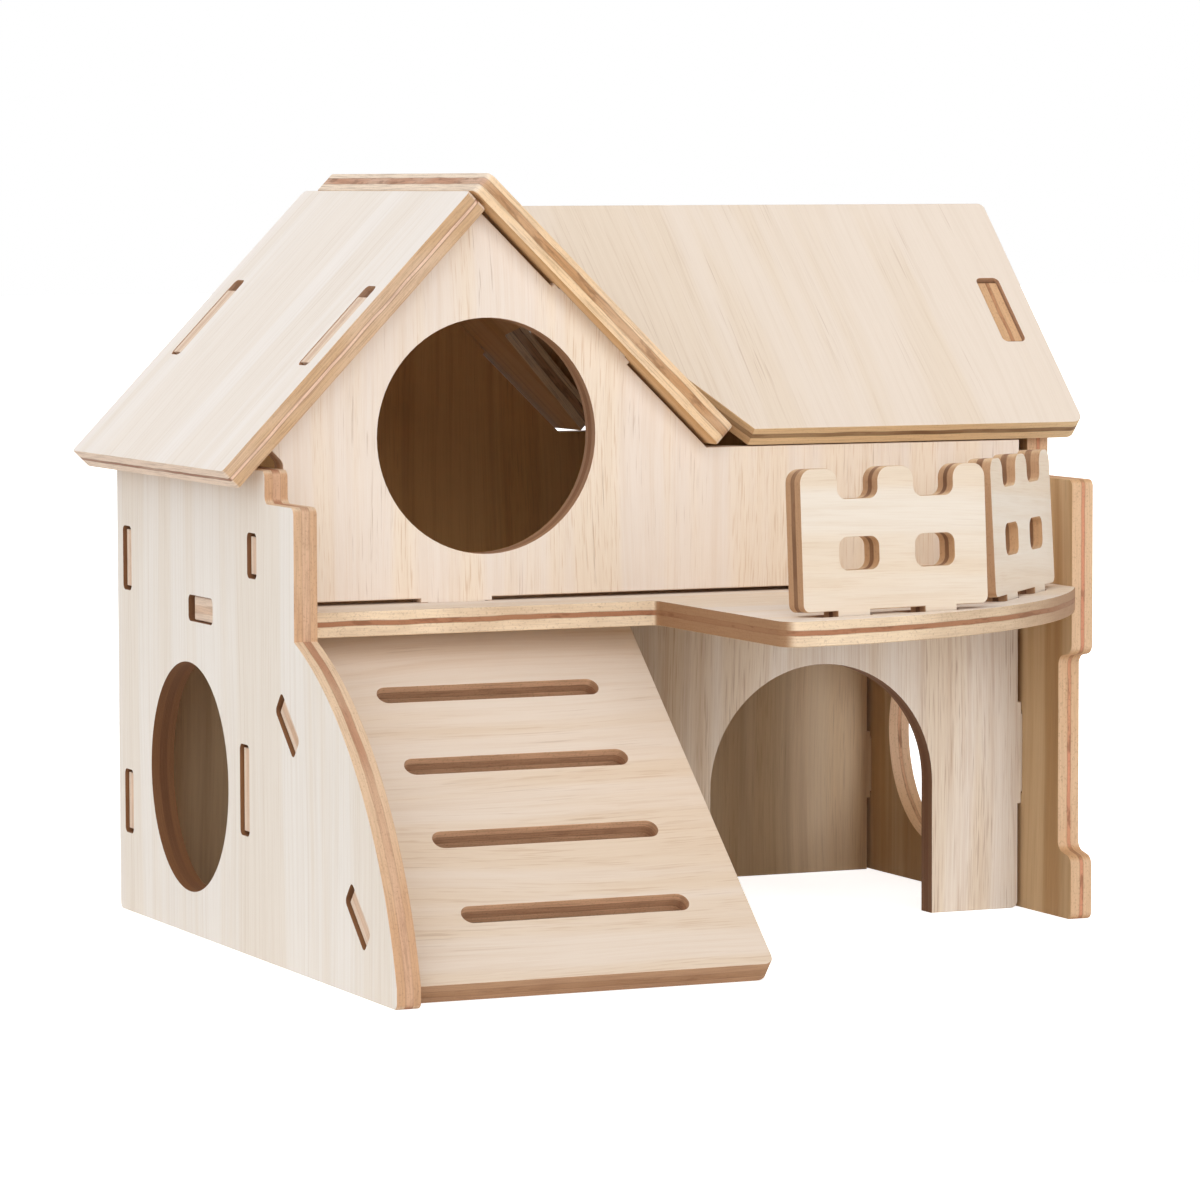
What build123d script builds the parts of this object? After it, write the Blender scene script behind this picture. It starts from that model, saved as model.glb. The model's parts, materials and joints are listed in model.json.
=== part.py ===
"""Wooden hamster house: thirteen plywood boards that plug together with tabs and slots."""

import os
from math import asin, atan2, cos, degrees, hypot, radians, sin, tan

from build123d import *

os.makedirs("parts", exist_ok=True)

# ---------------------------------------------------------------- driving dimensions, mm
# Distances across and back are taken from the house corner, where the outer face of the
# left side wall meets the front of its foot. Heights (z) are above the floor, and rises are
# above the deck's top.

board = 5.0                      # thickness of every board
house_width = 178.0              # over the outer faces of the two side walls
house_depth = 159.0              # length of the left side wall on the floor

upper_wall_y = 74.0              # front face of the upper front wall
rear_inset = 4.0                 # rear wall's back face, in from the side walls' back edges
deck_bottom = 64.5               # underside of the floor deck
wall_rise = 29.8                 # top edge of the front and rear walls beside the gable

gable_ridge_x = 48.0             # ridge of the gable roof, across
gable_ridge_rise = 78.9          # where the undersides of its two panels meet
gable_eave_rise = 29.3           # underside of the left panel over the left wall's outer face
main_ridge_rise = 70.0           # where the undersides of the right roof's panels meet

# Fits between the boards
relief = 0.8                     # gap beside a tab, between a board's edge and its neighbour
shoulder = 1.5                   # seat on each side of a tab
tab_recess = 0.8                 # a tab's end lies this far below the face it passes through
flush_recess = 0.1               # the same for the tabs in the gable roof, which end flush
slot_side_play = 0.15            # slot wider than the board, on each side
slot_end_play = 0.8              # slot longer than the tab, at each end
slot_corner = 1.2                # corner radius that the cutter leaves in a slot
seat_play = 0.1                  # clearance under a roof panel along a wall's top
roof_gap = 0.3                   # clearance between the lower roof's panels at its ridge
corner_radius = 1.5              # rounded outer corners of the boards
wall_notch_width = 3.4           # cut out of a front or rear wall's top corner at the right
wall_notch_depth = 2.4
horn_rise = 28.7                 # where a gabled wall widens over the left wall's top
horn_radius = 2.0

# Openings
side_hole_radius = 23.5
side_hole_z = 32.3
right_hole_set_back = 3.0        # right wall's round hole, behind the middle of the rooms
window_radius = 23.6
window_x = 49.3
window_rise = 33.0
arch_radius = 25.5
arch_x = 126.3
arch_z = 27.8                    # centre of the arch's round head

# Left side wall
left_wall_rise = 27.5
left_front_y = 53.0              # front edge beside the deck
left_step_rise = 21.0            # top of that front edge
left_head_y = 69.0               # front edge of the head above it
left_curve_radius = 87.0         # bowed front edge beside the ramp
left_curve_foot = 4.0            # height at which the bow starts

# Right side wall
right_front_y = 57.3             # front edge of the foot and of the post beside the balcony
right_recess_y = 63.0            # front edge between them
right_foot_z = 13.0
right_recess_low_z = 14.3
right_recess_drop = 10.0         # its top, below the deck
right_post_drop = 9.0            # foot of the post, below the deck
right_post_rise = 22.0
head_set_back = 3.0              # gabled head, in from the faces of the front and rear walls
right_blend_radius = 2.2

# Floor deck and balcony
deck_front_y = 59.5              # front edge above the ramp
balcony_left_x = 80.0
balcony_front_y = 0.0
balcony_end_y = 55.9             # where the bowed edge meets the right wall
balcony_radius = 110.0
balcony_corner = 4.0
deck_tab_slack = 1.0             # the deck's wall slots run on behind the tabs

# Railings: two equal lengths along the balcony's bowed edge
rail_height = 27.6
rail_lift = 1.0                  # gap under the railing
rail_lean = 3.0                  # degrees inwards, which the play in its slots allows
rail_front_turn = 10.0           # degrees from straight across
rail_side_turn = 46.5
rail_start_x = 6.9               # in from the balcony's left edge
rail_start_y = 6.4               # back from its front edge
rail_end_x = 4.1                 # in from the right wall
rail_end_y = 56.9
rail_break = 11.3                # between the two lengths, along their mean direction
rail_notch_depth = 6.0
rail_notch_width = 0.215         # shares of the railing's length
rail_notch_places = (0.305, 0.715)
rail_window_height = 6.4
rail_window_z = 11.0
rail_tab_places = (0.27, 0.74)
rail_tab_width = 0.175
rail_corner = 2.8
rail_notch_corner = 2.0
rail_slot_slack = 4.0            # the deck slots run on beyond the tabs

# Ramp
ramp_foot_y = 6.4                # where its lower edge stands on the floor
ramp_head_gap = 7.0              # its top edge, in front of the lower wall
ramp_right_x = 79.2
ramp_corner = 2.2
foot_slot_first = 16.85          # up the slope from the foot
foot_slot_pitch = 19.15
foot_slot_count = 4
foot_slot_width = 4.2
foot_slot_left_x = 19.5
foot_slot_right_x = 66.7

# Roof
roof_front_y = 69.3              # front edges of the gable panels
gable_left_rear_y = 162.4
gable_right_rear_y = 158.4
gable_left_overhang = 5.1        # underside's eave, out from the left wall
gable_right_lift = 0.5           # lower end of the right panel, above the wall top
gable_ridge_gap = 0.6            # between the left panel's upper end and the right panel
gable_ridge_drop = 0.7           # right panel's upper end, below the left panel's face
main_ridge_proud = 2.4           # front panel's upper end, above the rear panel
main_overhang = 5.0              # right edge of the lower roof, out from the right wall
valley_gap_front = 0.9           # across, between the gable's panel and the valley edges
valley_gap_rear = 0.5
gable_corner = 0.8               # lower corners of the left panel
main_corner = 2.5
passage_foot_width = 48.6        # attic passage up through the gable's right panel
passage_head_width = 31.0
passage_head_rise = 51.2
passage_peak_rise = 53.5

# Tabs: centre along the edge, and length
rear_tab_low_z, rear_tab_high_rise, rear_tab = 23.4, 5.2, 11.8
lower_tab_z, lower_tab, lower_shoulder = 32.9, 16.6, 2.5
upper_tab_rise, upper_tab = 10.3, 7.4
deck_tab_y, deck_tab = 106.4, 11.9
upper_foot_tab_x, upper_foot_tab = 42.6, 12.5
upper_foot_tab_right_x = 130.0
deck_rear_tab_x, deck_rear_tab_right_x = 45.0, 133.0
ramp_tab_low, ramp_tab_high, ramp_tab = 20.0, 69.7, 11.5
gable_left_tab, gable_left_tab_length = 38.6, 17.6
gable_left_slot_slack = 2.2      # the left panel's slots run on above the tabs
gable_right_tab, gable_right_tab_length = 33.9, 20.1
main_tab, main_tab_length = 24.4, 17.0

# ---------------------------------------------------------------- places that follow

deck_top = deck_bottom + board
wall_top = deck_top + wall_rise
gable_ridge_z = deck_top + gable_ridge_rise
gable_eave_z = deck_top + gable_eave_rise
main_ridge_z = deck_top + main_ridge_rise
upper_tab_z = deck_top + upper_tab_rise
rear_tab_high_z = deck_top + rear_tab_high_rise

left_inner_x = board
right_inner_x = house_width - board
rear_face_y = house_depth - rear_inset
rear_wall_y = rear_face_y - board
lower_wall_y = upper_wall_y + board
mid_y = (upper_wall_y + rear_face_y) / 2
right_hole_y = mid_y + right_hole_set_back
tab_reach = board - tab_recess
flush_reach = board - flush_recess

# The gable's panels meet at a right angle. A side of the gable is -1 for its left panel
# and 1 for its right one.
gable_left_pitch = atan2(gable_ridge_z - gable_eave_z, gable_ridge_x)
gable_pitch = {-1: gable_left_pitch, 1: radians(90) - gable_left_pitch}
main_pitch = atan2(main_ridge_z - wall_top, mid_y - upper_wall_y)

eave_reach = gable_left_overhang + board * sin(gable_pitch[-1])
overall_x = eave_reach + house_width + main_overhang
overall_y = gable_left_rear_y

# The origin is under the middle of the whole house, on the floor.
corner_x = eave_reach - overall_x / 2
corner_y = -overall_y / 2

# Ramp: the board's lower front edge and its upper back edge are both fixed, and the
# pitch follows from them.
ramp_run = lower_wall_y - ramp_head_gap - ramp_foot_y
ramp_span = hypot(ramp_run, deck_bottom)
ramp_pitch = atan2(deck_bottom, ramp_run) - asin(board / ramp_span)
ramp_length = ramp_span * cos(asin(board / ramp_span))

# Railings: the front one's left end and the side one's far end are fixed, and their equal
# lengths follow. A railing is its left end's x and y, and its turn.
rail_x = balcony_left_x + rail_start_x
rail_y = balcony_front_y + rail_start_y
rail_end = right_inner_x - rail_end_x
rail_mean_turn = radians(rail_front_turn + rail_side_turn) / 2
rail_half_bend = radians(rail_side_turn - rail_front_turn) / 2
rail_run = (rail_end - rail_x) * cos(rail_mean_turn) + (rail_end_y - rail_y) * sin(rail_mean_turn)
rail_length = (rail_run - rail_break) / (2 * cos(rail_half_bend))
side_rail_x = rail_end - rail_length * cos(radians(rail_side_turn))
side_rail_y = rail_end_y - rail_length * sin(radians(rail_side_turn))
front_rail = (rail_x, rail_y, rail_front_turn)
side_rail = (side_rail_x, side_rail_y, rail_side_turn)
rail_tab_drift = tab_reach * sin(radians(rail_lean))

# ---------------------------------------------------------------- planes


def side_plane(x):
    """Upright plane across the house: local x runs back, local y runs up, normal to +X."""
    return Plane(origin=(corner_x + x, corner_y, 0), x_dir=(0, 1, 0), z_dir=(1, 0, 0))


def front_plane(y):
    """Upright plane along the house: local x runs right, local y runs up, normal to -Y."""
    return Plane(origin=(corner_x, corner_y + y, 0), x_dir=(1, 0, 0), z_dir=(0, -1, 0))


def level_plane(z):
    """Level plane: local x runs right, local y runs back, normal up."""
    return Plane(origin=(corner_x, corner_y, z), x_dir=(1, 0, 0), z_dir=(0, 0, 1))


def gable_plane(side):
    """Underside of a gable roof panel: local x runs back, local y down the slope."""
    ridge = (corner_x + gable_ridge_x, corner_y, gable_ridge_z)
    normal = (-sin(gable_pitch[side]), 0, -side * cos(gable_pitch[side]))
    return Plane(origin=ridge, x_dir=(0, 1, 0), z_dir=normal)


def main_plane(side):
    """Underside of a lower roof panel: local x runs right, local y down the slope.

    side is -1 for the front panel and 1 for the rear one."""
    ridge = (corner_x, corner_y + mid_y, main_ridge_z)
    normal = (0, sin(main_pitch), side * cos(main_pitch))
    return Plane(origin=ridge, x_dir=(1, 0, 0), z_dir=normal)


def rail_plane(rail_start, rail_back, rail_turn):
    """Outer face of a railing, from its left end at the deck: local x runs along it, local y up."""
    turn, lean = radians(rail_turn), radians(rail_lean)
    return Plane(
        origin=(corner_x + rail_start, corner_y + rail_back, deck_top),
        x_dir=(cos(turn), sin(turn), 0),
        z_dir=(sin(turn) * cos(lean), -cos(turn) * cos(lean), sin(lean)),
    )


# ---------------------------------------------------------------- tabs and slots


def tabs(places, outward, length, seat=shoulder, reach=tab_reach):
    """Tabs on the edge of the open sketch.

    places are points on the face of the board that the tabs enter, and outward is the
    direction they point in, in degrees. A tab stands on a pad that closes the relief gap
    and reaches past it by seat on each side, and its end is at reach from that face."""
    with Locations(*[Location((x, y, 0), (0, 0, outward)) for x, y in places]):
        Rectangle(2 * relief, length + 2 * seat, align=(Align.MAX, Align.CENTER))
        Rectangle(2 * reach, length)


def slots(places, along, length, tab_thickness=board):
    """Slots through the open sketch for tabs of this length, which run along a direction
    in degrees."""
    with Locations(*[Location((x, y, 0), (0, 0, along)) for x, y in places]):
        RectangleRounded(
            length + 2 * slot_end_play,
            tab_thickness + 2 * slot_side_play,
            slot_corner,
            mode=Mode.SUBTRACT,
        )


def outline(*corners):
    """Closed straight-sided outline in the open sketch. Each corner is (x, y, radius)."""
    with BuildLine() as edge:
        FilletPolyline(
            *[(x, y) for x, y, _ in corners],
            radius=[corner for _, _, corner in corners],
            close=True,
        )
    make_face(edge.edges())


def gable_seat(side, down):
    """Point on a gable panel's underside, as (across, up), this far down its slope."""
    x = gable_ridge_x + side * down * cos(gable_pitch[side])
    return x, gable_ridge_z - down * sin(gable_pitch[side])


def main_seat(side, down):
    """Point on a lower roof panel's underside, as (back, up), this far down its slope."""
    y = mid_y + side * down * cos(main_pitch)
    return y, main_ridge_z - down * sin(main_pitch)


def gabled_wall(bottom_z):
    """Outline of a front or rear wall above bottom_z, with its tabs into the gable roof."""
    left_x = left_inner_x + relief
    right_x = right_inner_x - relief
    top_z = wall_top - seat_play
    left, right = gable_pitch[-1], gable_pitch[1]
    left_drop, right_drop = relief / cos(left), relief / cos(right)
    peak_x = gable_ridge_x + (left_drop - right_drop) / (tan(left) + tan(right))
    peak_z = gable_ridge_z - left_drop + (peak_x - gable_ridge_x) * tan(left)
    gable_foot_x = gable_ridge_x + (gable_ridge_z - right_drop - top_z) / tan(right)
    horn_z = deck_top + horn_rise
    horn_reach = (gable_eave_z - left_drop + left_x * tan(left) - horn_z) * cos(left)
    outline(
        (left_x, bottom_z, 0),
        (right_x, bottom_z, 0),
        (right_x, top_z - wall_notch_depth, 0),
        (right_inner_x - wall_notch_width, top_z - wall_notch_depth, 0),
        (right_inner_x - wall_notch_width, top_z, 0),
        (gable_foot_x, top_z, 0),
        (peak_x, peak_z, 0),
        (left_x - horn_reach * sin(left), horn_z + horn_reach * cos(left), 0),
        (left_x, horn_z, horn_radius),
    )
    left_tab, right_tab = gable_seat(-1, gable_left_tab), gable_seat(1, gable_right_tab)
    tabs([left_tab], 90 + degrees(left), gable_left_tab_length, reach=flush_reach)
    tabs([right_tab], 90 - degrees(right), gable_right_tab_length, reach=flush_reach)


def side_wall_openings(hole_y):
    """Round hole and the slots that both side walls have."""
    with Locations((hole_y, side_hole_z)):
        Circle(side_hole_radius, mode=Mode.SUBTRACT)
    rear_y = rear_wall_y + board / 2
    slots([(rear_y, rear_tab_low_z), (rear_y, rear_tab_high_z)], 90, rear_tab)
    slots([(upper_wall_y + board / 2, upper_tab_z)], 90, upper_tab)
    slots([(lower_wall_y + board / 2, lower_tab_z)], 90, lower_tab)
    deck_slot_y = deck_tab_y + deck_tab_slack / 2
    slots([(deck_slot_y, deck_bottom + board / 2)], 0, deck_tab + deck_tab_slack)


def finish(board_part, name):
    """Name a finished board and write it."""
    board_part.part.label = name
    export_step(board_part.part, f"parts/{name}.step")


# ---------------------------------------------------------------- side walls

with BuildPart() as left_side_wall:
    left_top_z = deck_top + left_wall_rise
    left_step_z = deck_top + left_step_rise
    with BuildSketch(side_plane(0)):
        with BuildLine():
            straight_edges = FilletPolyline(
                (0, left_curve_foot),
                (0, 0),
                (house_depth, 0),
                (house_depth, left_top_z),
                (left_head_y, left_top_z),
                (left_head_y, left_step_z),
                (left_front_y, left_step_z),
                (left_front_y, deck_bottom),
                radius=corner_radius,
            )
            RadiusArc(straight_edges @ 1, straight_edges @ 0, -left_curve_radius)
        make_face()
        side_wall_openings(mid_y)
        for slope_place in (ramp_tab_low, ramp_tab_high):
            slot_y = ramp_foot_y + slope_place * cos(ramp_pitch) - board / 2 * sin(ramp_pitch)
            slot_z = slope_place * sin(ramp_pitch) + board / 2 * cos(ramp_pitch)
            slots([(slot_y, slot_z)], degrees(ramp_pitch), ramp_tab)
    extrude(amount=board)
finish(left_side_wall, "left_side_wall")

with BuildPart() as right_side_wall:
    head_front_y = upper_wall_y + head_set_back
    head_rear_y = rear_face_y - head_set_back
    head_drop = relief / cos(main_pitch)
    head_eave_z = wall_top - head_drop + head_set_back * tan(main_pitch)
    post_top_z = deck_top + right_post_rise
    with BuildSketch(side_plane(right_inner_x)):
        outline(
            (right_front_y, 0, corner_radius),
            (house_depth, 0, corner_radius),
            (house_depth, post_top_z, corner_radius),
            (head_rear_y, post_top_z, corner_radius),
            (head_rear_y, head_eave_z, 0),
            (mid_y, main_ridge_z - head_drop, 0),
            (head_front_y, head_eave_z, 0),
            (head_front_y, post_top_z, corner_radius),
            (right_front_y, post_top_z, corner_radius),
            (right_front_y, deck_bottom - right_post_drop, right_blend_radius),
            (right_recess_y, deck_bottom - right_recess_drop, right_blend_radius),
            (right_recess_y, right_recess_low_z, right_blend_radius),
            (right_front_y, right_foot_z, right_blend_radius),
        )
        side_wall_openings(right_hole_y)
        tabs([main_seat(-1, main_tab)], 90 + degrees(main_pitch), main_tab_length)
        tabs([main_seat(1, main_tab)], 90 - degrees(main_pitch), main_tab_length)
    extrude(amount=board)
finish(right_side_wall, "right_side_wall")

# ---------------------------------------------------------------- front and rear walls

with BuildPart() as upper_front_wall:
    with BuildSketch(front_plane(upper_wall_y)):
        gabled_wall(deck_top + relief)
        tabs([(left_inner_x, upper_tab_z)], 180, upper_tab)
        tabs([(right_inner_x, upper_tab_z)], 0, upper_tab)
        foot_tabs = (upper_foot_tab_x, upper_foot_tab_right_x)
        tabs([(x, deck_top) for x in foot_tabs], -90, upper_foot_tab)
        with Locations((window_x, deck_top + window_rise)):
            Circle(window_radius, mode=Mode.SUBTRACT)
    extrude(amount=-board)
finish(upper_front_wall, "upper_front_wall")

with BuildPart() as lower_front_wall:
    with BuildSketch(front_plane(lower_wall_y)):
        outline(
            (left_inner_x + relief, 0, corner_radius),
            (right_inner_x - relief, 0, corner_radius),
            (right_inner_x - relief, deck_bottom, 0),
            (left_inner_x + relief, deck_bottom, 0),
        )
        tabs([(left_inner_x, lower_tab_z)], 180, lower_tab, lower_shoulder)
        tabs([(right_inner_x, lower_tab_z)], 0, lower_tab, lower_shoulder)
        with Locations((arch_x, arch_z)):
            Circle(arch_radius, mode=Mode.SUBTRACT)
            Rectangle(
                2 * arch_radius, arch_z, align=(Align.CENTER, Align.MAX), mode=Mode.SUBTRACT
            )
    extrude(amount=-board)
finish(lower_front_wall, "lower_front_wall")

with BuildPart() as rear_wall:
    with BuildSketch(front_plane(rear_wall_y)):
        gabled_wall(0)
        rear_heights = (rear_tab_low_z, rear_tab_high_z)
        tabs([(left_inner_x, z) for z in rear_heights], 180, rear_tab)
        tabs([(right_inner_x, z) for z in rear_heights], 0, rear_tab)
        deck_slots = (deck_rear_tab_x, deck_rear_tab_right_x)
        slots([(x, deck_bottom + board / 2) for x in deck_slots], 0, deck_tab)
    extrude(amount=-board)
finish(rear_wall, "rear_wall")

# ---------------------------------------------------------------- floor deck

with BuildPart() as floor_deck:
    with BuildSketch(level_plane(deck_bottom)) as deck_face:
        with BuildLine():
            straight_edges = FilletPolyline(
                (right_inner_x, balcony_end_y),
                (right_inner_x, rear_wall_y - relief),
                (left_inner_x, rear_wall_y - relief),
                (left_inner_x, deck_front_y),
                (balcony_left_x, deck_front_y),
                (balcony_left_x, balcony_front_y),
                radius=[0, 0, 0, corner_radius],
            )
            RadiusArc(straight_edges @ 1, straight_edges @ 0, -balcony_radius)
        make_face()
        fillet(deck_face.vertices().sort_by(Axis.Y)[0], balcony_corner)
        tabs([(left_inner_x, deck_tab_y)], 180, deck_tab)
        tabs([(right_inner_x, deck_tab_y)], 0, deck_tab)
        rear_tab_places = (deck_rear_tab_x, deck_rear_tab_right_x)
        tabs([(x, rear_wall_y) for x in rear_tab_places], 90, deck_tab)
        wall_slot_places = (upper_foot_tab_x, upper_foot_tab_right_x)
        slots([(x, upper_wall_y + board / 2) for x in wall_slot_places], 0, upper_foot_tab)
        for rail_start, rail_back, rail_turn in (front_rail, side_rail):
            slot_length = rail_tab_width * rail_length + rail_slot_slack
            slot_y = (board - rail_tab_drift) / 2
            rail_slots = [(x * rail_length - rail_slot_slack / 2, slot_y) for x in rail_tab_places]
            with Locations(Location((rail_start, rail_back, 0), (0, 0, rail_turn))):
                slots(rail_slots, 0, slot_length, board + rail_tab_drift)
    extrude(amount=board)
finish(floor_deck, "floor_deck")

# ---------------------------------------------------------------- ramp

ramp_plane = Plane(
    origin=(corner_x, corner_y + ramp_foot_y, 0),
    x_dir=(1, 0, 0),
    z_dir=(0, -sin(ramp_pitch), cos(ramp_pitch)),
)
with BuildPart() as ramp:
    with BuildSketch(ramp_plane):
        outline(
            (left_inner_x, 0, 0),
            (ramp_right_x, 0, ramp_corner),
            (ramp_right_x, ramp_length, 0),
            (left_inner_x, ramp_length, 0),
        )
        tabs([(left_inner_x, s) for s in (ramp_tab_low, ramp_tab_high)], 180, ramp_tab)
        foot_slot_x = (foot_slot_left_x + foot_slot_right_x) / 2
        foot_slot_places = [foot_slot_first + i * foot_slot_pitch for i in range(foot_slot_count)]
        with Locations(*[(foot_slot_x, place) for place in foot_slot_places]):
            SlotOverall(
                foot_slot_right_x - foot_slot_left_x, foot_slot_width, mode=Mode.SUBTRACT
            )
    extrude(amount=board)
finish(ramp, "ramp")

# ---------------------------------------------------------------- gable roof

with BuildPart() as gable_roof_left:
    eave_down = (gable_ridge_x + gable_left_overhang) / cos(gable_pitch[-1])
    with BuildSketch(gable_plane(-1)):
        outline(
            (roof_front_y, gable_ridge_gap, corner_radius),
            (gable_left_rear_y, gable_ridge_gap, corner_radius),
            (gable_left_rear_y, eave_down, gable_corner),
            (roof_front_y, eave_down, gable_corner),
        )
        wall_places = (upper_wall_y + board / 2, rear_wall_y + board / 2)
        slot_down = gable_left_tab - gable_left_slot_slack / 2
        slot_length = gable_left_tab_length + gable_left_slot_slack
        slots([(y, slot_down) for y in wall_places], 90, slot_length)
    extrude(amount=board)
finish(gable_roof_left, "gable_roof_left")

with BuildPart() as gable_roof_right:
    ridge_end = gable_ridge_drop - board
    low_end = (gable_ridge_z - wall_top - gable_right_lift) / sin(gable_pitch[1])
    head_down = (gable_ridge_rise - passage_head_rise) / sin(gable_pitch[1])
    peak_down = (gable_ridge_rise - passage_peak_rise) / sin(gable_pitch[1])
    half_foot, half_head = passage_foot_width / 2, passage_head_width / 2
    with BuildSketch(gable_plane(1)):
        outline(
            (roof_front_y, ridge_end, corner_radius),
            (gable_right_rear_y, ridge_end, corner_radius),
            (gable_right_rear_y, low_end, corner_radius),
            (mid_y + half_foot, low_end, corner_radius),
            (mid_y + half_head, head_down, corner_radius),
            (mid_y, peak_down, corner_radius),
            (mid_y - half_head, head_down, corner_radius),
            (mid_y - half_foot, low_end, corner_radius),
            (roof_front_y, low_end, corner_radius),
        )
        wall_places = (upper_wall_y + board / 2, rear_wall_y + board / 2)
        slots([(y, gable_right_tab) for y in wall_places], 90, gable_right_tab_length)
    extrude(amount=-board)
finish(gable_roof_right, "gable_roof_right")

# ---------------------------------------------------------------- lower roof


def valley_x(down, gap):
    """Where a lower roof panel's underside ends, this far down its slope and this far
    across from the gable."""
    height = main_ridge_z - down * sin(main_pitch)
    gable_top = gable_ridge_z + board / cos(gable_pitch[1])
    return gable_ridge_x + (gable_top - height) / tan(gable_pitch[1]) + gap


def lower_roof_panel(top_down, gap):
    """Outline of a lower roof panel that starts this far down its slope."""
    eave_down = (mid_y - upper_wall_y) / cos(main_pitch)
    right_x = house_width + main_overhang
    outline(
        (valley_x(top_down, gap), top_down, 0),
        (right_x, top_down, corner_radius),
        (right_x, eave_down, main_corner),
        (valley_x(eave_down, gap), eave_down, 0),
    )
    slots([(house_width - board / 2, main_tab)], 90, main_tab_length)


with BuildPart() as right_roof_front:
    with BuildSketch(main_plane(-1)):
        front_top = -board / sin(2 * main_pitch) - main_ridge_proud
        lower_roof_panel(front_top, valley_gap_front)
    extrude(amount=-board)
finish(right_roof_front, "right_roof_front")

with BuildPart() as right_roof_rear:
    with BuildSketch(main_plane(1)):
        rear_top = max(0, board / tan(2 * main_pitch)) + roof_gap
        lower_roof_panel(rear_top, valley_gap_rear)
    extrude(amount=board)
finish(right_roof_rear, "right_roof_rear")

# ---------------------------------------------------------------- railings

for rail_name, rail in (("railing_front", front_rail), ("railing_side", side_rail)):
    top_z = rail_lift + rail_height
    half_notch = rail_notch_width * rail_length / 2
    battlement = [(0, rail_lift, corner_radius), (0, top_z, rail_corner)]
    for place in rail_notch_places:
        notch_x = place * rail_length
        battlement += [
            (notch_x - half_notch, top_z, rail_corner),
            (notch_x - half_notch, top_z - rail_notch_depth, rail_notch_corner),
            (notch_x + half_notch, top_z - rail_notch_depth, rail_notch_corner),
            (notch_x + half_notch, top_z, rail_corner),
        ]
    battlement += [(rail_length, top_z, rail_corner), (rail_length, rail_lift, corner_radius)]
    with BuildPart() as railing:
        with BuildSketch(rail_plane(*rail)):
            outline(*battlement)
            with Locations(*[(x * rail_length, rail_lift + rail_window_z) for x in rail_notch_places]):
                RectangleRounded(
                    2 * half_notch, rail_window_height, rail_notch_corner, mode=Mode.SUBTRACT
                )
            rail_tabs = [(x * rail_length, 0) for x in rail_tab_places]
            tabs(rail_tabs, -90, rail_tab_width * rail_length, seat=0)
        extrude(amount=-board)
    finish(railing, rail_name)
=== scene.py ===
import json
import math

import bmesh
import bpy
from mathutils import Matrix, Vector

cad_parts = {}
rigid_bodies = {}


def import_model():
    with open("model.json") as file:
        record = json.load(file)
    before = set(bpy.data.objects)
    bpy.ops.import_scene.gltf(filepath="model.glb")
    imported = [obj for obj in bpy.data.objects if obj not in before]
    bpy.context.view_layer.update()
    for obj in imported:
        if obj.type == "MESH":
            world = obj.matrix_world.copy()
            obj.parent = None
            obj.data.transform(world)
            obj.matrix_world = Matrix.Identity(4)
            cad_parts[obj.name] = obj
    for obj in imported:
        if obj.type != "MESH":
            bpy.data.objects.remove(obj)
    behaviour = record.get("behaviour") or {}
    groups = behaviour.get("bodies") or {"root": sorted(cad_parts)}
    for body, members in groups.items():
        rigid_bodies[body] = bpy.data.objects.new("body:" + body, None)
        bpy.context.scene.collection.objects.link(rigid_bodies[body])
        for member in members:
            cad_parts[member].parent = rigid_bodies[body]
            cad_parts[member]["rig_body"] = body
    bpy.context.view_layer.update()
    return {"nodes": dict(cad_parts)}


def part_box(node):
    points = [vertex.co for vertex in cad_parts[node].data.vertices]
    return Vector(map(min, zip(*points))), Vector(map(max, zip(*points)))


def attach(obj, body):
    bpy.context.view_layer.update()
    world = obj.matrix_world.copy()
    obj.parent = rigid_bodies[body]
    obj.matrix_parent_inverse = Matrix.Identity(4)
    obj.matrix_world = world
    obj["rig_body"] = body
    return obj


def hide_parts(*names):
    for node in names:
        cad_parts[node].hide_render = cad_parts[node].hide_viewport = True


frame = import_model()

MM = 0.001

# ---------------------------------------------------------------- the camera

VIEW_YAW = math.radians(23.657)          # turned to the right of straight ahead
VIEW_PITCH = math.radians(4.322)         # looking down
VIEW_ROLL = math.radians(-0.156)
VIEW_PLACE = Vector((-367.0, -929.7, 153.3)) * MM   # from the left side wall's foot
VIEW_SENSOR = 36.0                       # mm
VIEW_LENS = 163.18                       # mm
VIEW_SHIFT = (0.0044, -0.0068)
VIEW_CLIP = (0.05, 50.0)                 # m


def add_camera():
    """The main view: a long lens at the height of the roof ridge, looking slightly down."""
    lens = bpy.data.cameras.new("main_view")
    lens.sensor_width = VIEW_SENSOR
    lens.lens = VIEW_LENS
    lens.shift_x, lens.shift_y = VIEW_SHIFT
    lens.clip_start, lens.clip_end = VIEW_CLIP
    camera = bpy.data.objects.new("main_view", lens)
    bpy.context.scene.collection.objects.link(camera)
    turned = (
        Matrix.Rotation(-VIEW_YAW, 4, "Z")
        @ Matrix.Rotation(math.pi / 2 - VIEW_PITCH, 4, "X")
        @ Matrix.Rotation(VIEW_ROLL, 4, "Z")
    )
    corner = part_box("left_side_wall")[0]
    camera.matrix_world = Matrix.Translation(corner + VIEW_PLACE) @ turned
    bpy.context.scene.camera = camera


# ---------------------------------------------------------------- node helpers

SEED_STEP = (7.3, 3.1, 1.7)              # how far one step of seed moves a pattern, on each axis
WOOD_SPECULAR = 0.35


def put(tree, kind, sockets, **settings):
    """Add a node. A socket takes a plain value or another node's output."""
    made = tree.nodes.new(kind)
    for name, value in settings.items():
        setattr(made, name, value)
    for name, value in sockets.items():
        if isinstance(value, bpy.types.NodeSocket):
            tree.links.new(value, made.inputs[name])
        else:
            made.inputs[name].default_value = value
    return made


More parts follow.
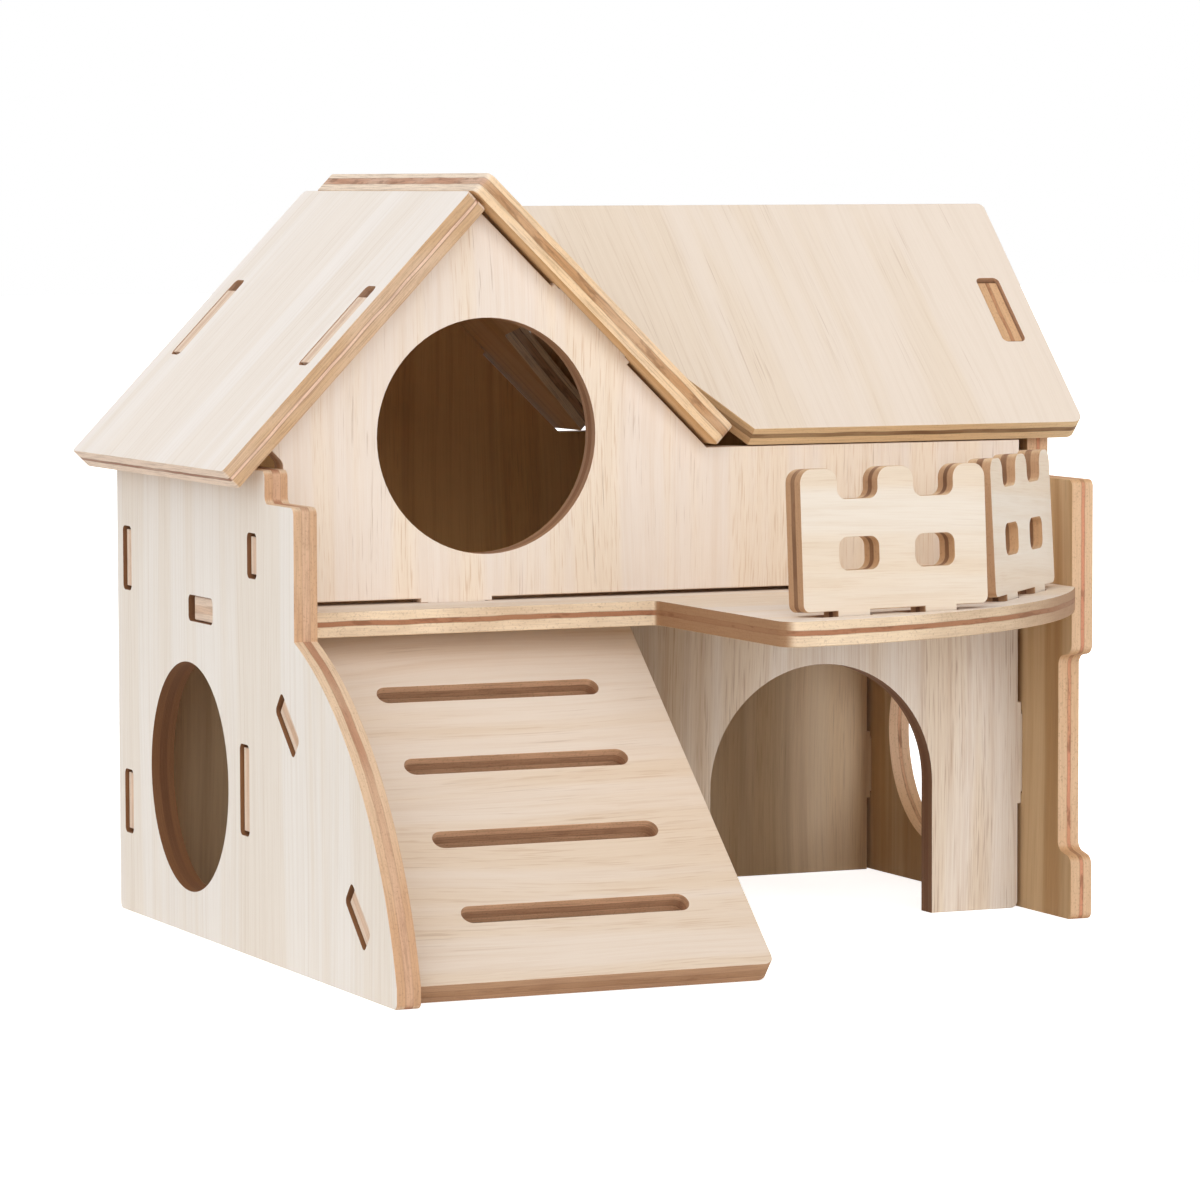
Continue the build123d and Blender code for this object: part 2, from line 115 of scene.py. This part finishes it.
def paint(red, green, blue):
    """Linear colour of a screen colour from 0 to 255."""
    def linear(level):
        level /= 255
        return level / 12.92 if level <= 0.04045 else ((level + 0.055) / 1.055) ** 2.4
    return (linear(red), linear(green), linear(blue), 1.0)


def maths(tree, operation, *values):
    return put(tree, "ShaderNodeMath", dict(enumerate(values)), operation=operation).outputs[0]


def vectors(tree, operation, *values):
    return put(tree, "ShaderNodeVectorMath", dict(enumerate(values)), operation=operation)


def ease(tree, value, low, high, to_low=0.0, to_high=1.0):
    """value from low to high, eased over to_low to to_high."""
    sockets = {0: value, 1: low, 2: high, 3: to_low, 4: to_high}
    return put(tree, "ShaderNodeMapRange", sockets, interpolation_type="SMOOTHSTEP").outputs[0]


def mix(tree, share, first, second, how="MIX"):
    sockets = {0: share, 6: first, 7: second}
    return put(tree, "ShaderNodeMix", sockets, data_type="RGBA", blend_type=how).outputs[2]


def fibre(tree, place, lengths, seed, detail=2.0, rough=0.5):
    """Noise stretched to these lengths, in mm along the grain, across it and through it."""
    scaled = vectors(tree, "MULTIPLY", place, tuple(1 / length for length in lengths))
    moved = vectors(tree, "ADD", scaled.outputs[0], tuple(seed * step for step in SEED_STEP))
    sockets = {"Vector": moved.outputs[0], "Scale": 1.0, "Detail": detail, "Roughness": rough}
    return put(tree, "ShaderNodeTexNoise", sockets).outputs[0]


def new_material(name):
    """A material with no nodes yet, and its node tree."""
    material = bpy.data.materials.new(name)
    material.use_nodes = True
    material.node_tree.nodes.clear()
    return material, material.node_tree


def board_place(tree, turn, low):
    """Object coordinates turned to a board, in mm: along the grain, across it, through it."""
    coordinates = put(tree, "ShaderNodeTexCoord", {})
    sockets = {
        "Vector": coordinates.outputs["Object"],
        "Location": -low / MM,
        "Rotation": turn.to_euler(),
        "Scale": (1 / MM, 1 / MM, 1 / MM),
    }
    return put(tree, "ShaderNodeMapping", sockets).outputs[0], coordinates.outputs["Normal"]


def wood_shader(tree, colour, rough, height, depth):
    """Bare wood, with a relief that is this many mm deep."""
    bump = put(tree, "ShaderNodeBump", {"Strength": 1.0, "Distance": depth * MM, "Height": height})
    sockets = {
        "Base Color": colour,
        "Roughness": rough,
        "Normal": bump.outputs[0],
        "Specular IOR Level": WOOD_SPECULAR,
    }
    shader = put(tree, "ShaderNodeBsdfPrincipled", sockets)
    put(tree, "ShaderNodeOutputMaterial", {"Surface": shader.outputs[0]})


# ---------------------------------------------------------------- face veneers

# Sizes of a face veneer's patterns, in mm along the grain, across it and through it
SWAY_SIZE = (110, 30, 40)                # the grain bends slowly to and fro
BAND_SIZE = (240, 12, 40)                # golden bands between pale ones
THREAD_SIZE = (17, 0.34, 3)              # single fibres
CLUSTER_SIZE = (60, 7, 20)               # places where pores gather

# From which level of its noise a pattern shows, and from which it shows in full
BAND_RANGE = (0.42, 0.60)
STREAK_RANGE = (0.44, 0.74)
THREAD_RANGE = (0.42, 0.70)
DASH_RANGE = (0.53, 0.68)
CLUSTER_RANGE = (0.44, 0.66)
PORE_RANGE = (0.60, 0.71)
ROUGH_RANGE = (0.3, 0.7)                 # of the threads, over which FACE_ROUGHNESS spreads

SWAY = 9.0                               # mm across the grain, from one side to the other
PALE_BAND_DASHES = 0.12                  # share of the dashes that a pale band keeps
THREAD_RELIEF = 0.6                      # weight of the threads in the relief; the pores' is 1
FACE_RELIEF = 0.05                       # mm
FACE_ROUGHNESS = (0.58, 0.72)


def veneer(name, turn, low, seed, look):
    """Face veneer: plain pale bands between golden ones, which are full of short fine dashes, with
    the look's painted shade multiplied over them.
    """
    material, tree = new_material(name)
    place, _ = board_place(tree, turn, low)
    bend = fibre(tree, place, SWAY_SIZE, seed, detail=1.0)
    sway = maths(tree, "MULTIPLY_ADD", bend, SWAY, -SWAY / 2)
    shift = put(tree, "ShaderNodeCombineXYZ", {"Y": sway})
    swayed = vectors(tree, "ADD", place, shift.outputs[0]).outputs[0]

    bands = fibre(tree, swayed, BAND_SIZE, seed + 1, detail=2.5, rough=0.6)
    bands = ease(tree, bands, *BAND_RANGE)
    streaks = fibre(tree, swayed, look["streak_size"], seed + 2, detail=3.0, rough=0.6)
    streaks = ease(tree, streaks, *STREAK_RANGE)
    threads = fibre(tree, swayed, THREAD_SIZE, seed + 3, detail=3.0, rough=0.65)
    dashes = fibre(tree, swayed, look["dash_size"], seed + 6, detail=2.0, rough=0.6)
    dashes = ease(tree, dashes, *DASH_RANGE)
    clusters = ease(tree, fibre(tree, swayed, CLUSTER_SIZE, seed + 4), *CLUSTER_RANGE)
    pores = fibre(tree, swayed, look["pore_size"], seed + 5, detail=2.0, rough=0.6)
    pores = ease(tree, pores, *PORE_RANGE)

    colour = mix(tree, bands, look["pale"], look["golden"])
    colour = mix(tree, maths(tree, "MULTIPLY", streaks, look["streaks"]), colour, look["streak"])
    thread_share = ease(tree, threads, *THREAD_RANGE, 0.0, look["threads"])
    colour = mix(tree, thread_share, colour, look["streak"])
    in_bands = ease(tree, bands, 0.0, 1.0, PALE_BAND_DASHES, 1.0)
    dash_share = maths(tree, "MULTIPLY", dashes, in_bands)
    dash_share = maths(tree, "MULTIPLY", dash_share, look["dashes"])
    colour = mix(tree, dash_share, colour, look["dash"])
    pore_share = maths(tree, "MULTIPLY", maths(tree, "MULTIPLY", pores, clusters), look["pores"])
    colour = mix(tree, pore_share, colour, look["pore"])

    raised = maths(tree, "MULTIPLY", threads, THREAD_RELIEF)
    height = maths(tree, "SUBTRACT", raised, pore_share)
    rough = ease(tree, threads, *ROUGH_RANGE, *FACE_ROUGHNESS)
    # Painted shade: darkens the colour over the part of the board that the house shades
    for axis, start, full, painted_shade in look["painted_shades"]:
        distance = put(tree, "ShaderNodeSeparateXYZ", {0: place}).outputs[axis]
        colour = mix(tree, ease(tree, distance, start, full), colour, painted_shade, "MULTIPLY")
    wood_shader(tree, colour, rough, height, FACE_RELIEF)
    return material


# ---------------------------------------------------------------- cut edges

# Sizes of a cut edge's patterns, in mm along the grain, across it and through the board
WOBBLE_SIZE = (9, 9, 30)                 # the plies wander up and down
LINE_SIZE = (8, 8, 0.26)                 # fine lines along the plies
SPECK_SIZE = (0.5, 0.5, 0.4)             # open pores
PATCH_SIZE = (6, 6, 1.4)                 # darker places in the core
DRIFT_SIZE = (22, 22, 9)                 # slow changes of tone

# From which level of its noise a pattern shows, and from which it shows in full
LINE_RANGE = (0.40, 0.72)
SPECK_RANGE = (0.52, 0.74)
PATCH_RANGE = (0.52, 0.66)
DRIFT_RANGE = (0.35, 0.65)

END_GRAIN_RANGE = (0.35, 0.85)           # how squarely a side crosses the grain, 1 in full
WOBBLE = 0.5                             # mm through the board, from lowest to highest
PLY_BLEND = 0.1                          # mm to each side, in which a skin turns into the core
GLUE_RANGE = (0.03, 0.16)                # mm from a glue line: where it is full, and where it ends
DRIFT_SHARE = 0.35
SPECK_RELIEF = 0.5                       # weight of the specks in the relief; the lines' is 1
CUT_RELIEF = 0.08                        # mm
CUT_ROUGHNESS = 0.72


def cut_edge(name, turn, low, seed, cut):
    """Cut through the plies: two face veneers, and the core between them."""
    material, tree = new_material(name)
    place, normal = board_place(tree, turn, low)
    grain = tuple(turn[0])
    facing = maths(tree, "ABSOLUTE", vectors(tree, "DOT_PRODUCT", normal, grain).outputs[1])
    end_grain = ease(tree, facing, *END_GRAIN_RANGE)

    wander = fibre(tree, place, WOBBLE_SIZE, seed)
    wobble = maths(tree, "MULTIPLY_ADD", wander, WOBBLE, -WOBBLE / 2)
    depth = maths(tree, "ADD", put(tree, "ShaderNodeSeparateXYZ", {0: place}).outputs[2], wobble)
    core_low, core_high = cut["core"]
    past_low = ease(tree, depth, core_low - PLY_BLEND, core_low + PLY_BLEND)
    past_high = ease(tree, depth, core_high - PLY_BLEND, core_high + PLY_BLEND)
    core = maths(tree, "SUBTRACT", past_low, past_high)
    glue_low = maths(tree, "ABSOLUTE", maths(tree, "SUBTRACT", depth, core_low))
    glue_high = maths(tree, "ABSOLUTE", maths(tree, "SUBTRACT", depth, core_high))
    glue = ease(tree, maths(tree, "MINIMUM", glue_low, glue_high), *GLUE_RANGE, 1.0, 0.0)

    lines = fibre(tree, place, LINE_SIZE, seed + 1, detail=3.0, rough=0.6)
    specks = fibre(tree, place, SPECK_SIZE, seed + 2, detail=2.0, rough=0.6)
    patches = fibre(tree, place, PATCH_SIZE, seed + 3, detail=3.0, rough=0.6)
    patches = ease(tree, patches, *PATCH_RANGE)
    drift = ease(tree, fibre(tree, place, DRIFT_SIZE, seed + 4), *DRIFT_RANGE)

    skin = mix(tree, end_grain, cut["skin"], cut["skin_end"])
    heart = mix(tree, end_grain, cut["heart"], cut["heart_end"])
    colour = mix(tree, core, skin, heart)
    colour = mix(tree, maths(tree, "MULTIPLY", drift, DRIFT_SHARE), colour, cut["skin_end"])
    colour = mix(tree, ease(tree, lines, *LINE_RANGE, 0.0, cut["lines"]), colour, cut["dark"])
    colour = mix(tree, ease(tree, specks, *SPECK_RANGE, 0.0, cut["specks"]), colour, cut["dark"])
    core_patches = maths(tree, "MULTIPLY", maths(tree, "MULTIPLY", patches, core), cut["patches"])
    colour = mix(tree, core_patches, colour, cut["dark"])
    colour = mix(tree, maths(tree, "MULTIPLY", glue, cut["glue"]), colour, cut["dark"])

    height = maths(tree, "ADD", lines, maths(tree, "MULTIPLY", specks, SPECK_RELIEF))
    wood_shader(tree, colour, CUT_ROUGHNESS, height, CUT_RELIEF)
    return material


# ---------------------------------------------------------------- finishes and painted shade

# Painted shade over a board, darker where the house shades it: the way along (0) or across (1) the
# grain, where the painted shade starts and where it is full, both in mm from the board's low
# corner, and what it multiplies with
UPPER_ROOM_PAINTED_SHADE = (0, 65, 69, paint(255, 229, 186))      # painted warm shade on the rear wall's inner face above the deck
REAR_PAINTED_SHADE = (1, 157, 148, paint(222, 215, 204))    # painted shade on the same face, all but its right end, which is left pale where light through the door falls
RAMP_PAINTED_SHADE = (1, 58, 92, paint(196, 182, 165))      # painted shade of the ramp and deck on the lower front wall's face behind the ramp

# Looks of face veneers: the painted shade over the board, the colours of the bands and of what
# marks them, how strongly the marks show, and their sizes in mm along the grain, across it and
# through it
PLAIN_FACE = {
    "painted_shades": (),
    "pale": paint(238, 225, 213),
    "golden": paint(240, 224, 205),
    "streak": paint(216, 188, 158),
    "dash": paint(208, 174, 140),
    "pore": paint(160, 122, 92),
    "streaks": 0.22,
    "threads": 0.12,
    "dashes": 0.54,
    "pores": 0.42,
    "streak_size": (80, 1.6, 8),
    "dash_size": (9, 0.36, 2),
    "pore_size": (13, 0.34, 2),
}
GREY_FACE = PLAIN_FACE | {
    "pale": paint(240, 233, 225),
    "golden": paint(236, 226, 214),
    "streak": paint(208, 190, 170),
    "dash": paint(204, 180, 154),
    "streaks": 0.26,
    "dashes": 0.18,
    "pores": 0.12,
    "streak_size": (190, 1.2, 8),
    "dash_size": (22, 0.42, 2),
}
LOFT_FACE = GREY_FACE | {
    "pale": paint(245, 237, 230),
    "golden": paint(242, 232, 222),
    "streaks": 0.14,
    "threads": 0.08,
}
ROOF_FACE = PLAIN_FACE | {
    "pale": paint(233, 218, 203),
    "golden": paint(230, 213, 194),
    "streak": paint(208, 186, 162),
    "dash": paint(190, 160, 130),
    "streaks": 0.16,
    "threads": 0.08,
    "dashes": 0.18,
    "pores": 0.30,
    "dash_size": (20, 0.42, 2),
    "pore_size": (26, 0.40, 2),
}
RAMP_FACE = PLAIN_FACE | {
    "pale": paint(229, 213, 197),
    "golden": paint(225, 205, 183),
    "streak": paint(206, 176, 146),
    "dash": paint(192, 156, 122),
    "streaks": 0.24,
    "dashes": 0.36,
    "pores": 0.26,
    "streak_size": (48, 1.5, 8),
    "dash_size": (12, 0.48, 2),
    "pore_size": (15, 0.40, 2),
}
LOWER_FACE = PLAIN_FACE | {
    "painted_shades": (RAMP_PAINTED_SHADE,),
    "pale": paint(248, 239, 229),
    "golden": paint(241, 226, 207),
    "streak": paint(190, 152, 120),
    "dash": paint(170, 130, 98),
    "streaks": 0.30,
    "threads": 0.20,
    "dashes": 0.45,
    "pores": 0.55,
    "dash_size": (16, 0.46, 2),
}
RAIL_FACE = PLAIN_FACE | {
    "pale": paint(238, 226, 211),
    "golden": paint(234, 216, 194),
    "streak": paint(214, 188, 158),
    "streaks": 0.26,
    "dashes": 0.22,
    "pores": 0.12,
    "streak_size": (36, 2.4, 8),
}
# Inside faces: darker and warmer than the outer ones, painted shade standing in for the dim warm
# light inside the house
INNER_FACE_PAINTED_SHADE = PLAIN_FACE | {
    "pale": paint(217, 187, 146),
    "golden": paint(190, 151, 104),
    "streak": paint(166, 124, 84),
    "dash": paint(150, 108, 70),
    "pore": paint(110, 74, 46),
    "streaks": 0.30,
    "threads": 0.14,
    "dashes": 0.20,
    "pores": 0.20,
    "streak_size": (160, 3.0, 8),
}
# Rear wall's inside: paler than the other inside faces, with painted shade over all but its right
# end, which is left as painted light from the door
REAR_WALL_PAINTED_LIGHT_AND_SHADE = INNER_FACE_PAINTED_SHADE | {
    "painted_shades": (UPPER_ROOM_PAINTED_SHADE, REAR_PAINTED_SHADE),
    "pale": paint(250, 226, 194),
    "golden": paint(244, 216, 180),
}
# Inside faces of the upper room and under the roofs: warmer still, painted shade of the dim attic
ROOM_FACE_PAINTED_SHADE = INNER_FACE_PAINTED_SHADE | {
    "pale": paint(231, 193, 146),
    "golden": paint(218, 174, 122),
}

# Looks of cut edges: where the core lies, in mm from the board's back, the colours of the skins
# and of the core, each along the grain and on end grain, the dark of all marks, and how strongly
# each kind of mark shows
PALE_CUT = {
    "core": (2.15, 3.15),
    "skin": paint(245, 220, 188),
    "skin_end": paint(160, 122, 88),
    "heart": paint(174, 119, 86),
    "heart_end": paint(150, 108, 76),
    "dark": paint(122, 80, 52),
    "lines": 0.18,
    "specks": 0.26,
    "patches": 0.60,
    "glue": 0.22,
}
TAN_CUT = PALE_CUT | {                   # what is made from it sets its own skin and core colours
    "core": (1.6, 3.2),
    "lines": 0.26,
    "specks": 0.14,
    "patches": 0.15,
    "glue": 0.30,
}
LEFT_CUT = TAN_CUT | {
    "skin": paint(206, 163, 126),
    "skin_end": paint(226, 196, 164),
    "heart": paint(210, 168, 136),
    "heart_end": paint(180, 132, 102),
    "specks": 0.26,
    "glue": 0.20,
}
LOFT_CUT = TAN_CUT | {
    "core": (2.1, 2.8),
    "skin": paint(208, 171, 132),
    "skin_end": paint(240, 217, 196),
    "heart": paint(236, 200, 174),
    "heart_end": paint(156, 112, 88),
    "lines": 0.36,
    "glue": 0.50,
}
RAMP_CUT = TAN_CUT | {
    "skin": paint(186, 147, 114),
    "skin_end": paint(200, 160, 124),
    "heart": paint(172, 132, 98),
    "heart_end": paint(180, 140, 106),
    "lines": 0.34,
    "patches": 0.35,
}
GOLDEN_CUT = TAN_CUT | {
    "core": (1.9, 3.6),
    "skin": paint(244, 210, 168),
    "skin_end": paint(246, 226, 204),
    "heart": paint(200, 152, 106),
    "heart_end": paint(196, 148, 120),
    "dark": paint(108, 70, 40),
    "lines": 0.38,
    "patches": 0.45,
    "glue": 0.34,
}
EAVE_CUT = GOLDEN_CUT | {
    "core": (2.2, 3.3),
    "skin": paint(176, 127, 77),
    "skin_end": paint(230, 199, 156),
    "heart": paint(130, 90, 54),
    "heart_end": paint(118, 84, 54),
    "lines": 0.22,
    "patches": 0.30,
}
TAB_CUT = TAN_CUT | {
    "skin": paint(240, 216, 194),
    "skin_end": paint(238, 214, 192),
    "heart": paint(228, 194, 166),
    "heart_end": paint(222, 187, 158),
    "specks": 0.15,
    "glue": 0.12,
}
PINK_CUT = PALE_CUT | {
    "core": (2.2, 3.0),
    "skin": paint(226, 190, 154),
    "skin_end": paint(214, 170, 126),
    "heart": paint(216, 148, 116),
    "heart_end": paint(176, 126, 86),
    "specks": 0.32,
    "glue": 0.30,
}
RAIL_CUT = PALE_CUT | {
    "core": (1.9, 3.1),
    "skin": paint(222, 188, 150),
    "skin_end": paint(184, 144, 108),
    "heart": paint(156, 114, 84),
    "heart_end": paint(112, 78, 54),
    "glue": 0.30,
}
SLOT_CUT = TAN_CUT | {
    "skin": paint(184, 146, 118),
    "skin_end": paint(196, 154, 120),
    "heart": paint(160, 118, 90),
    "heart_end": paint(180, 134, 102),
    "patches": 0.20,
    "glue": 0.35,
}
DARK_SLOT = SLOT_CUT | {
    "skin": paint(134, 92, 58),
    "skin_end": paint(130, 88, 54),
    "heart": paint(108, 70, 42),
    "heart_end": paint(114, 76, 48),
    "lines": 0.60,
    "specks": 0.45,
    "glue": 0.60,
}
DOOR_CUT = SLOT_CUT | {
    "skin": paint(150, 112, 86),
    "skin_end": paint(146, 106, 78),
    "heart": paint(140, 100, 74),
    "heart_end": paint(128, 90, 64),
}
FOOT_SLOT = SLOT_CUT | {
    "skin": paint(236, 192, 154),
    "heart": paint(198, 154, 120),
    "lines": 0.34,
    "specks": 0.30,
}
PINK_SLOT = PINK_CUT | {
    "skin": paint(228, 190, 156),
    "heart": paint(216, 166, 132),
}
RAIL_SLOT = RAIL_CUT | {
    "skin_end": paint(206, 164, 122),
    "heart_end": paint(124, 86, 58),
    "patches": 0.55,
}

# Each board's grain direction and the direction that its shown face points in, then the looks
# of that face, of its back, of its outline, and of its slots and holes
LEFT, RIGHT = Vector((-1, 0, 0)), Vector((1, 0, 0))
FORWARD, BACK = Vector((0, -1, 0)), Vector((0, 1, 0))
UP = Vector((0, 0, 1))
BOARDS = {
    "left_side_wall": (UP, LEFT, GREY_FACE, INNER_FACE_PAINTED_SHADE, LEFT_CUT, DARK_SLOT),
    "right_side_wall": (UP, RIGHT, PLAIN_FACE, INNER_FACE_PAINTED_SHADE, PINK_CUT, PINK_SLOT),
    "upper_front_wall": (UP, FORWARD, PLAIN_FACE, ROOM_FACE_PAINTED_SHADE, TAB_CUT, SLOT_CUT),
    "lower_front_wall": (UP, FORWARD, LOWER_FACE, INNER_FACE_PAINTED_SHADE, TAB_CUT, DOOR_CUT),
    "rear_wall": (UP, BACK, PLAIN_FACE, REAR_WALL_PAINTED_LIGHT_AND_SHADE, TAB_CUT, SLOT_CUT),
    "floor_deck": (RIGHT, UP, PLAIN_FACE, INNER_FACE_PAINTED_SHADE, PALE_CUT, SLOT_CUT),
    "ramp": (RIGHT, UP, RAMP_FACE, INNER_FACE_PAINTED_SHADE, RAMP_CUT, FOOT_SLOT),
    "gable_roof_left": (RIGHT, UP, LOFT_FACE, ROOM_FACE_PAINTED_SHADE, LOFT_CUT, SLOT_CUT),
    "gable_roof_right": (RIGHT, UP, ROOF_FACE, ROOM_FACE_PAINTED_SHADE, GOLDEN_CUT, SLOT_CUT),
    "right_roof_front": (BACK, UP, ROOF_FACE, ROOM_FACE_PAINTED_SHADE, EAVE_CUT, SLOT_CUT),
    "right_roof_rear": (BACK, UP, ROOF_FACE, ROOM_FACE_PAINTED_SHADE, EAVE_CUT, SLOT_CUT),
    "railing_front": (RIGHT, FORWARD, RAIL_FACE, RAIL_FACE, RAIL_CUT, RAIL_SLOT),
    "railing_side": (RIGHT, FORWARD, RAIL_FACE, RAIL_FACE, RAIL_CUT, RAIL_SLOT),
}
TABBED = ("floor_deck", "ramp")          # boards whose tabs end paler than their outline

# ---------------------------------------------------------------- boards

OUTLINE_ARRIS = 0.28 * MM                # rounding of a board's outer edges
SLOT_ARRIS = 0.14 * MM                   # rounding of the edges of its slots and holes
MERGE_GAP = 1e-7                         # m: corners closer than this are one corner
FLAT_ANGLE = 0.006                       # radians: triangles that turn less are one face
SHARP_ANGLE = math.radians(38)           # edges that turn further stay sharp
WALL_END = 12 * MM                       # the lower front wall's ends, clear of its door
FACE, BACKING, EDGE, HOLE, TAB_END = range(5)       # material slots
BOARD_SEED = 3.0                         # step of seed from one board to the next
EDGE_SEED, HOLE_SEED, TAB_SEED, BACK_SEED = 20, 40, 50, 60      # steps to a board's other sides


def board_turn(node, grain, shown):
    """Rotation to the board: its rows are the grain, the way across it and the shown normal."""
    broad = max(node.data.polygons, key=lambda face: face.area)
    normal = broad.normal.copy()
    if normal.dot(shown) < 0:
        normal.negate()
    along = (grain - normal * grain.dot(normal)).normalized()
    return Matrix((along, normal.cross(along), normal))


def rings(faces):
    """The side faces in closed rings: the outline first, then the holes."""
    left, found = set(faces), []
    for start in faces:
        if start not in left:
            continue
        left.remove(start)
        ring, reach = [start], [start]
        while reach:
            for edge in reach.pop().edges:
                for face in edge.link_faces:
                    if face in left:
                        left.remove(face)
                        ring.append(face)
                        reach.append(face)
        found.append(ring)
    return sorted(found, key=lambda ring: -sum(face.calc_area() for face in ring))


def in_doorway(centre):
    """Whether a point on the lower front wall's outline belongs to its arched door."""
    low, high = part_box("lower_front_wall")
    beside = low.x + WALL_END < centre.x < high.x - WALL_END
    return beside and low.z + MM < centre.z < high.z - MM


def in_side_wall(centre):
    """Whether a point lies between the faces of a side wall, as a tab's end does."""
    left_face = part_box("left_side_wall")[1].x
    right_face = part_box("right_side_wall")[0].x
    return centre.x < left_face - MM or centre.x > right_face + MM


def soften(shape, ring, width):
    """Round the edges between a ring of side faces and the broad faces."""
    ring = set(ring)
    # Taken in the shape's own order, so that each run gives the same mesh
    arrises = [
        edge for edge in shape.edges
        if not ring.isdisjoint(edge.link_faces) and not ring.issuperset(edge.link_faces)
    ]
    bmesh.ops.bevel(
        shape, geom=arrises, offset=width, offset_type="OFFSET", segments=2, profile=0.5,
        affect="EDGES", clamp_overlap=False, material=-1,
    )


def plywood_board(name, seed, grain, shown, face_look, back_look, edge_look, hole_look):
    """A board with softened arrises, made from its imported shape."""
    node = frame["nodes"][name]
    turn = board_turn(node, grain, shown)
    corners = [turn @ vertex.co for vertex in node.data.vertices]
    low = Vector([min(corner[i] for corner in corners) for i in range(3)])

    shape = bmesh.new()
    shape.from_mesh(node.data)
    bmesh.ops.remove_doubles(shape, verts=shape.verts, dist=MERGE_GAP)
    bmesh.ops.dissolve_limit(
        shape, angle_limit=FLAT_ANGLE, verts=shape.verts, edges=shape.edges,
    )
    normal = turn[2]
    for face in shape.faces:
        face.material_index = FACE if face.normal.dot(normal) > 0 else BACKING
        face.smooth = True
    sides = [face for face in shape.faces if abs(face.normal.dot(normal)) < 0.5]
    outline, *holes = rings(sides)
    for face in outline:
        centre = face.calc_center_median()
        face.material_index = EDGE
        if name == "lower_front_wall" and in_doorway(centre):
            face.material_index = HOLE
        if name in TABBED and in_side_wall(centre):
            face.material_index = TAB_END
    soften(shape, outline, OUTLINE_ARRIS)
    for hole in holes:
        for face in hole:
            face.material_index = HOLE
        soften(shape, hole, SLOT_ARRIS)
    for edge in shape.edges:
        edge.smooth = edge.calc_face_angle(0) < SHARP_ANGLE

    mesh = bpy.data.meshes.new(name + "_board")
    shape.to_mesh(mesh)
    shape.free()
    board = bpy.data.objects.new(name + "_board", mesh)
    bpy.context.scene.collection.objects.link(board)
    mesh.materials.append(veneer(name + "_face", turn, low, seed, face_look))
    mesh.materials.append(veneer(name + "_back", turn, low, seed + BACK_SEED, back_look))
    mesh.materials.append(cut_edge(name + "_edge", turn, low, seed + EDGE_SEED, edge_look))
    mesh.materials.append(cut_edge(name + "_hole", turn, low, seed + HOLE_SEED, hole_look))
    if name in TABBED:
        mesh.materials.append(cut_edge(name + "_tab", turn, low, seed + TAB_SEED, TAB_CUT))
    weights = board.modifiers.new("even_normals", "WEIGHTED_NORMAL")
    weights.keep_sharp = True
    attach(board, node["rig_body"])
    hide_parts(name)


# ---------------------------------------------------------------- the stage

WHITE = (1, 1, 1, 1)
FLOOR_REACH = 6.0                        # m from the middle to each side
FLOOR_PAPER = paint(248, 247, 246)
FLOOR_GLOW = 0.84                        # added only where the floor is seen
SKY_COLOUR = (1, 0.98, 0.955, 1)
SKY_STRENGTH = 0.06

# Degrees to the right of straight ahead, degrees up, strength, and degrees of spread
SUNS = {
    "key": (24, 14, 0.30, 36),
    "front": (0, 35, 0.18, 40),
    "fill": (-65, 32, 0.71, 100),
    "rear": (150, 42, 0.30, 100),
}


def shown_rays(tree):
    """1 where a surface is seen directly, in gloss or through glass."""
    rays = put(tree, "ShaderNodeLightPath", {})
    seen = maths(tree, "MAXIMUM", rays.outputs["Is Camera Ray"], rays.outputs["Is Glossy Ray"])
    return maths(tree, "MAXIMUM", seen, rays.outputs["Is Transmission Ray"])


def add_floor():
    """Pale floor that keeps the shadow, and is white away from it."""
    shape = bmesh.new()
    bmesh.ops.create_grid(shape, x_segments=1, y_segments=1, size=FLOOR_REACH)
    mesh = bpy.data.meshes.new("studio_floor")
    shape.to_mesh(mesh)
    shape.free()
    floor = bpy.data.objects.new("studio_floor", mesh)
    bpy.context.scene.collection.objects.link(floor)
    material, tree = new_material("studio_floor")
    seen = shown_rays(tree)
    paper = put(tree, "ShaderNodeBsdfDiffuse", {"Color": FLOOR_PAPER})
    glow = put(tree, "ShaderNodeEmission", {"Color": WHITE, "Strength": FLOOR_GLOW})
    lit = put(tree, "ShaderNodeAddShader", {0: paper.outputs[0], 1: glow.outputs[0]})
    both = put(tree, "ShaderNodeMixShader", {0: seen, 1: paper.outputs[0], 2: lit.outputs[0]})
    put(tree, "ShaderNodeOutputMaterial", {"Surface": both.outputs[0]})
    mesh.materials.append(material)


def add_world():
    """Even, slightly warm light from all round, and plain white behind the house."""
    world = bpy.data.worlds.new("studio")
    bpy.context.scene.world = world
    world.use_nodes = True
    tree = world.node_tree
    tree.nodes.clear()
    seen = shown_rays(tree)
    sky = put(tree, "ShaderNodeBackground", {"Color": SKY_COLOUR, "Strength": SKY_STRENGTH})
    white = put(tree, "ShaderNodeBackground", {"Color": WHITE, "Strength": 1.0})
    both = put(tree, "ShaderNodeMixShader", {0: seen, 1: sky.outputs[0], 2: white.outputs[0]})
    put(tree, "ShaderNodeOutputWorld", {"Surface": both.outputs[0]})


def add_sun(name, side_turn, height, strength, spread):
    """Soft light from this many degrees to the right of straight ahead, and this high."""
    light = bpy.data.lights.new(name, "SUN")
    light.energy = strength * math.pi
    light.angle = math.radians(spread)
    lamp = bpy.data.objects.new(name, light)
    bpy.context.scene.collection.objects.link(lamp)
    lamp.rotation_euler = (math.radians(90 - height), 0, math.radians(side_turn))


add_camera()
for count, (name, looks) in enumerate(BOARDS.items()):
    plywood_board(name, count * BOARD_SEED, *looks)
add_floor()
add_world()
for name, sun in SUNS.items():
    add_sun(name, *sun)
bpy.context.scene.view_settings.view_transform = "Standard"
